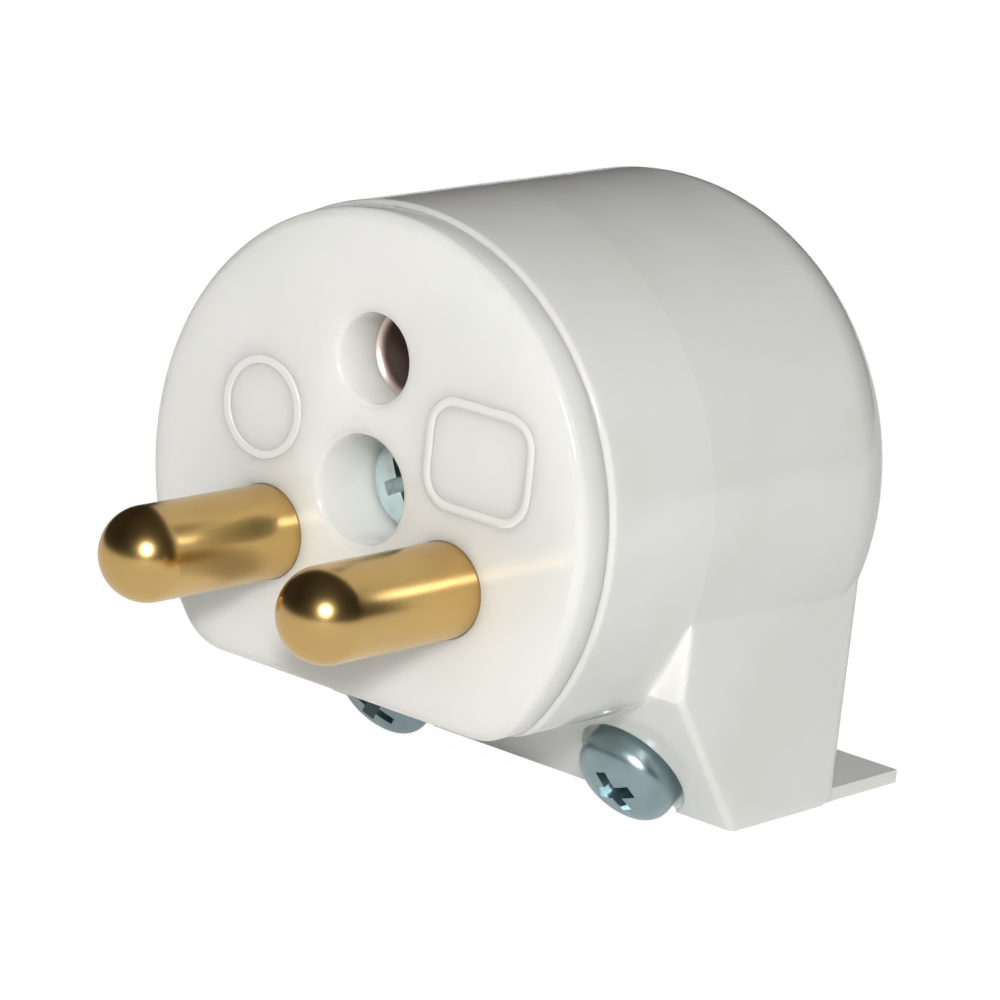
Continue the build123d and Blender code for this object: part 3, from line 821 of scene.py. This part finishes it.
class LAMPPLUG_OT_contacts(bpy.types.Operator):
    """Turns the two pins and the earth sleeve, and makes the wire washers"""

    bl_idname = "lampplug.contacts"
    bl_label = "Contacts"

    def execute(self, context):
        sizes = context.scene.lamp_plug.contacts
        for side in SIDES:
            node = f"{side}_pin"
            middle = middle_of(node)
            place = along((middle.x, 0.0, middle.z), REARWARD)
            mesh = self.pin(node, sizes)
            add_piece(f"{side}_turned_pin", mesh, place, "turned brass", "brass", node)
        node = "earth_sleeve"
        middle = middle_of(node)
        place = along((middle.x, 0.0, middle.z), REARWARD)
        mesh = self.sleeve(node, sizes)
        add_piece("slotted_earth_sleeve", mesh, place, "tinned brass", "tinned_brass", node)
        for side in (*SIDES, "earth"):
            node = f"{side}_wire_washer"
            place = along(middle_of(node), REARWARD)
            mesh = self.washer(node, sizes)
            add_piece(f"{side}_washer", mesh, place, "zinc plating", "zinc_steel", node)
        return {"FINISHED"}

    def pin(self, node, sizes):
        """Pin with a round tip, a thinner root and a tapped rear end."""
        low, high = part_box(node)
        tip, end = low[1], high[1]
        radius = sizes.pin_diameter / 2.0
        root = sizes.root_diameter / 2.0
        terminal = (high[0] - low[0]) / 2.0
        bore = sizes.tapped_diameter / 2.0
        soft = sizes.edge_break
        steps = 24
        dome = []
        for step in range(steps):
            turn = step / steps * math.pi / 2.0
            dome.append((radius * math.sin(turn), tip + radius * (1.0 - math.cos(turn))))
        profile = dome + [
            (radius, tip + radius),
            (radius, 0.0),
            (root, 0.0),
            (root, sizes.floor_thickness),
            (terminal, sizes.floor_thickness, soft),
            (terminal, end, soft),
            (bore, end, soft),
            (bore, end - sizes.tapped_depth),
            (0.0, end - sizes.tapped_depth),
        ]
        return lathe(rounded(profile))

    def sleeve(self, node, sizes):
        """Slotted socket with a rounded mouth, a groove for the spring and a tapped rear end."""
        low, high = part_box(node)
        front, end = low[1], high[1]
        outer = (high[0] - low[0]) / 2.0
        bore = sizes.sleeve_bore / 2.0
        tapped = sizes.tapped_diameter / 2.0
        soft = sizes.edge_break
        groove_front, groove_rear = (corner[1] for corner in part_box("earth_spring"))
        groove = outer - sizes.groove_depth
        profile = [
            (0.0, front + sizes.sleeve_depth),
            (bore, front + sizes.sleeve_depth),
            (bore, front, sizes.sleeve_mouth),
            (outer, front, soft),
            (outer, groove_front - soft),
            (groove, groove_front - soft),
            (groove, groove_rear + soft),
            (outer, groove_rear + soft),
            (outer, end, soft),
            (tapped, end, soft),
            (tapped, end - sizes.tapped_depth),
            (0.0, end - sizes.tapped_depth),
        ]
        across = oblong(sizes.slot_width, 3.0 * outer)
        slot = tapered(across, front - soft, across, front + sizes.slot_depth)
        return carved(lathe(rounded(profile)), slot)

    def washer(self, node, sizes):
        """Stamped washer with soft edges."""
        low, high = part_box(node)
        outer = (high[0] - low[0]) / 2.0
        return soft_ring(sizes.washer_bore / 2.0, outer, high[1] - low[1], sizes.edge_break)


class LAMPPLUG_OT_inserts(bpy.types.Operator):
    """Makes the knurled inserts in the cover and in the clamp"""

    bl_idname = "lampplug.inserts"
    bl_label = "Threaded Inserts"

    def execute(self, context):
        plug = context.scene.lamp_plug
        sizes = plug.contacts
        clamp_axis = slant_axis(plug.screws)
        knurls = self.knurl_recipe()
        for node, axis in (
            ("cover_insert", FORWARD),
            ("left_clamp_insert", clamp_axis),
            ("right_clamp_insert", clamp_axis),
        ):
            low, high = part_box(node)
            outer = (high[0] - low[0]) / 2.0
            reach = self.reach(node, axis)
            core = outer - sizes.knurl_depth
            soft = sizes.edge_break
            ring = soft_ring(sizes.insert_bore / 2.0, core, reach, soft)
            bars = knurls.grow(
                {
                    "Bars": sizes.knurl_count,
                    "Radius": core,
                    "Depth": 2.0 * sizes.knurl_depth,
                    "Length": reach - 4.0 * soft,
                }
            )
            place = along(middle_of(node), axis)
            add_piece(f"knurled_{node}", joined(ring, bars), place, "turned brass", "brass", node)
        return {"FINISHED"}

    def reach(self, node, axis):
        """Length of a node along an axis."""
        heights = [vertex.co.dot(axis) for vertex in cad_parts[node].data.vertices]
        return max(heights) - min(heights)

    def knurl_recipe(self):
        """Bars that stand around a core."""
        recipe = Recipe("knurls")
        count = recipe.size("Bars", "NodeSocketInt")
        radius = recipe.size("Radius")
        depth = recipe.size("Depth")
        span = recipe.size("Length")
        ring = recipe.node("GeometryNodeMeshCircle", Vertices=count, Radius=radius)
        block = recipe.node("ShaderNodeCombineXYZ", None, depth, depth, span)
        bar = recipe.node("GeometryNodeMeshCube", Size=block)
        here = recipe.node("GeometryNodeInputPosition")
        outward = recipe.node("FunctionNodeAlignRotationToVector", {"axis": "X"}, Vector=here)
        bars = recipe.node(
            "GeometryNodeInstanceOnPoints", Points=ring, Instance=bar, Rotation=outward
        )
        recipe.finish(bars, bpy.data.materials["turned brass"])
        return recipe


def slant_axis(sizes):
    """Direction out of the slanted wall."""
    return Vector((0.0, -math.cos(sizes.slant), -math.sin(sizes.slant)))


class LAMPPLUG_OT_screws(bpy.types.Operator):
    """Makes the screws of the clamp, the cover and the terminals"""

    bl_idname = "lampplug.screws"
    bl_label = "Screws"

    def execute(self, context):
        sizes = context.scene.lamp_plug.screws
        thread = self.thread_recipe()
        for node, spin in CLAMP_SPINS.items():
            seat = (middle_of(node).x, sizes.clamp_seat_depth, -sizes.clamp_seat_drop)
            place = along(seat, slant_axis(sizes), spin)
            mesh = self.screw(sizes, thread, sizes.clamp_head, sizes.head_height, sizes.clamp_length)
            add_piece(f"plated_{node}", mesh, place, "zinc plating", "zinc_steel", node)

        node = "cover_screw"
        middle = middle_of(node)
        seat = (middle.x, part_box(node)[1][1] - sizes.cover_length, middle.z)
        place = along(seat, FORWARD, COVER_SPIN)
        mesh = self.screw(sizes, thread, sizes.cover_head, sizes.head_height, sizes.cover_length)
        # The cover screw wears the zinc painted lighter, as painted light
        add_piece("plated_cover_screw", mesh, place, "bright zinc", "zinc_steel", node)

        for side in (*SIDES, "earth"):
            node = f"{side}_terminal_screw"
            middle = middle_of(node)
            seat = (middle.x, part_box(f"{side}_wire_washer")[1][1], middle.z)
            place = along(seat, REARWARD, TERMINAL_SPIN)
            mesh = self.screw(
                sizes, thread, sizes.terminal_head, sizes.terminal_head_height, sizes.terminal_length
            )
            add_piece(f"plated_{node}", mesh, place, "zinc plating", "zinc_steel", node)
        return {"FINISHED"}

    def screw(self, sizes, thread, head, height, shank_length):
        """Screw with its seat at Z = 0 and its head upwards."""
        rim = head / 2.0
        rim_height = sizes.rim_height * height / sizes.head_height
        rise = height - rim_height
        dome = (rim**2 + rise**2) / (2.0 * rise)
        rim_angle = math.asin(rim / dome)
        core = sizes.thread_diameter / 2.0 - sizes.thread_ridge
        profile = [
            (0.0, -shank_length),
            (core - sizes.tip_chamfer, -shank_length),
            (core, sizes.tip_chamfer - shank_length),
            (core, 0.0),
            (rim, 0.0, sizes.seat_round),
            (rim, rim_height, min(sizes.rim_round, RIM_ROUND_LIMIT * rim_height)),
        ]
        steps = 14
        for step in range(steps):
            turn = rim_angle * DOME_SHARE * (1.0 - step / steps)
            profile.append((dome * math.sin(turn), height - dome * (1.0 - math.cos(turn))))
        profile.append((0.0, height))
        span, width, depth = sizes.recess_span, sizes.recess_width, sizes.recess_depth
        bottom = height - min(depth, height - depth / 4.0)
        foot = cross(RECESS_FOOT_SPAN * span, RECESS_FOOT_WIDTH * width)
        recess = tapered(foot, bottom, cross(span, width), height + 0.1 * rise)
        whole = lathe(rounded(profile))
        whole.shade_smooth()
        whole.set_sharp_from_angle(angle=SHARP_ANGLE)
        head_and_core = carved(whole.copy(), recess)
        turns = thread.grow(
            {
                "Radius": core,
                "Pitch": sizes.thread_pitch,
                "Length": shank_length - sizes.tip_chamfer - 2.0 * sizes.thread_ridge,
                "Ridge": sizes.thread_ridge,
            }
        )
        turns.transform(Matrix.Translation((0.0, 0.0, sizes.tip_chamfer - shank_length)))
        mesh = joined(head_and_core, turns)
        mesh.shade_smooth()
        mesh.set_sharp_from_angle(angle=SHARP_ANGLE)
        keep_shading(mesh, whole, HEAD_SHADING_REACH)
        return mesh

    def thread_recipe(self):
        """Round ridge wound around a core."""
        recipe = Recipe("screw thread")
        radius = recipe.size("Radius")
        pitch = recipe.size("Pitch")
        span = recipe.size("Length")
        ridge = recipe.size("Ridge")
        helix = recipe.node(
            "GeometryNodeCurveSpiral",
            Resolution=24,
            Rotations=span / pitch,
            Start_Radius=radius,
            End_Radius=radius,
            Height=span,
        )
        section = recipe.node("GeometryNodeCurvePrimitiveCircle", Resolution=6, Radius=ridge)
        sweep = recipe.node(
            "GeometryNodeCurveToMesh", Curve=helix, Profile_Curve=section, Fill_Caps=True
        )
        recipe.finish(sweep, bpy.data.materials["zinc plating"])
        return recipe


def white_to_the_eye(shader, level, mirrored=1.0):
    """Level of light: full for camera and transmission rays, in part for mirrors, low for others."""
    rays = shader.tree.nodes.new("ShaderNodeLightPath")
    seen = (
        Value(shader, rays.outputs["Is Camera Ray"])
        + Value(shader, rays.outputs["Is Glossy Ray"]) * mirrored
        + Value(shader, rays.outputs["Is Transmission Ray"])
    )
    return seen.smaller(1.0) * (1.0 - level) + level


def card(name, corners, material):
    """One flat quad in world places, which belongs to the stage."""
    mesh = bpy.data.meshes.new(name)
    mesh.from_pydata([tuple(corner) for corner in corners], [], [(0, 1, 2, 3)])
    mesh.materials.append(material)
    panel = bpy.data.objects.new(name, mesh)
    bpy.context.scene.collection.objects.link(panel)
    return panel


def direction(azimuth, elevation):
    """Direction at a turn from the plug's front to the right and a rise."""
    flat = math.cos(elevation)
    return Vector((math.sin(azimuth) * flat, -math.cos(azimuth) * flat, math.sin(elevation)))


def soft_lamp(name, towards, distance, size, power):
    """Round area lamp in a direction from the plug's middle, turned to it."""
    lamp = bpy.data.lights.new(name, "AREA")
    lamp.shape = "DISK"
    lamp.size = size
    lamp.energy = power
    holder = bpy.data.objects.new(name, lamp)
    holder.location = PLUG_MIDDLE + towards * distance
    holder.rotation_mode = "QUATERNION"
    holder.rotation_quaternion = (-towards).to_track_quat("-Z", "Y")
    holder.visible_camera = False
    bpy.context.scene.collection.objects.link(holder)
    return holder


class LAMPPLUG_OT_stage(bpy.types.Operator):
    """Sets the floor, the room, the flags, the lamps and the camera"""

    bl_idname = "lampplug.stage"
    bl_label = "Stage"

    def execute(self, context):
        scene = context.scene
        levels = scene.lamp_plug.stage
        scene.view_settings.view_transform = "Standard"

        world = bpy.data.worlds.new("pale room")
        scene.world = world
        shader = Shader(world)
        light = shader.node(
            "ShaderNodeBackground",
            Color=opaque(WHITE),
            Strength=white_to_the_eye(shader, levels.room_level),
        )
        shader.finish(light)

        pale = bpy.data.materials.new("pale floor")
        shader = Shader(pale)
        matt = shader.node("ShaderNodeBsdfDiffuse", Color=opaque(FLOOR_TONE))
        glow = shader.node("ShaderNodeEmission", Color=opaque(WHITE), Strength=FLOOR_GLOW)
        share = white_to_the_eye(shader, 0.0, FLOOR_MIRRORED) * FLOOR_SHARE
        shader.finish(shader.node("ShaderNodeMixShader", None, share, matt, glow))
        level = CAD_BOUNDS[0].z - FLOOR_GAP
        corners = oblong(2.0 * FLOOR_REACH, 2.0 * FLOOR_REACH)
        card("floor", [(*corner, level) for corner in corners], pale)

        dark = bpy.data.materials.new("dark flag")
        shader = Shader(dark)
        shader.finish(shader.node("ShaderNodeBsdfDiffuse", Color=opaque(FLAG_TONE)))
        wall = ROOM_WALL
        ceiling = ROOM_CEILING
        sides = (
            ("left flag", (-wall, -wall), (-wall, wall)),
            ("back flag", (-wall, wall), (wall, wall)),
            ("right flag", (wall, wall), (wall, -wall)),
            ("front flag", (wall, -wall), (-wall, -wall)),
        )
        flags = [
            card(name, ((*start, level), (*end, level), (*end, ceiling), (*start, ceiling)), dark)
            for name, start, end in sides
        ]
        corners = oblong(2.0 * wall, 2.0 * wall)
        flags.append(card("overhead flag", [(*corner, ceiling) for corner in corners], dark))
        for flag in flags:
            flag.visible_camera = False
            flag.visible_diffuse = False
            flag.visible_shadow = False

        key = direction(levels.key_azimuth, levels.key_elevation)
        soft_lamp("key lamp", key, levels.lamp_distance, levels.key_size, levels.key_power)
        back = direction(levels.back_azimuth, levels.back_elevation)
        fill = soft_lamp("back lamp", back, levels.lamp_distance, levels.back_size, levels.back_power)
        fill.visible_glossy = False

        view = bpy.data.cameras.new("camera")
        view.sensor_width = SENSOR_WIDTH
        view.lens = FOCAL_LENGTH
        holder = bpy.data.objects.new("camera", view)
        turn = Matrix((CAMERA_RIGHT, -CAMERA_DOWN, -CAMERA_AHEAD)).transposed().to_4x4()
        holder.matrix_world = Matrix.Translation(CAMERA_PLACE) @ turn
        view.clip_start = CLIP_START
        view.clip_end = CLIP_END
        scene.collection.objects.link(holder)
        scene.camera = holder
        return {"FINISHED"}


class LAMPPLUG_PT_panel(bpy.types.Panel):
    """Lists the plug's pieces and settings"""

    bl_idname = "LAMPPLUG_PT_panel"
    bl_label = "Lamp Plug"
    bl_space_type = "VIEW_3D"
    bl_region_type = "UI"
    bl_category = "Lamp Plug"

    def draw(self, context):
        for operator in OPERATORS:
            self.layout.operator(operator.bl_idname)
        plug = context.scene.lamp_plug
        for group in (plug.finishes, plug.moulding, plug.contacts, plug.screws, plug.stage):
            box = self.layout.box()
            for name in group.__annotations__:
                box.prop(group, name)


OPERATORS = (
    LAMPPLUG_OT_finishes,
    LAMPPLUG_OT_cover,
    LAMPPLUG_OT_relief,
    LAMPPLUG_OT_contacts,
    LAMPPLUG_OT_inserts,
    LAMPPLUG_OT_screws,
    LAMPPLUG_OT_stage,
)
GROUPS = (PlugFinishes, PlugMoulding, PlugContacts, PlugScrews, PlugStage, LampPlugSettings)
CLASSES = (*GROUPS, *OPERATORS, LAMPPLUG_PT_panel)


def register():
    for cls in CLASSES:
        bpy.utils.register_class(cls)
    bpy.types.Scene.lamp_plug = PointerProperty(type=LampPlugSettings)


def unregister():
    del bpy.types.Scene.lamp_plug
    for cls in reversed(CLASSES):
        bpy.utils.unregister_class(cls)


def main():
    register()
    bpy.ops.lampplug.finishes()
    bpy.ops.lampplug.cover()
    bpy.ops.lampplug.relief()
    bpy.ops.lampplug.contacts()
    bpy.ops.lampplug.inserts()
    bpy.ops.lampplug.screws()
    bpy.ops.lampplug.stage()


if __name__ == "__main__":
    main()
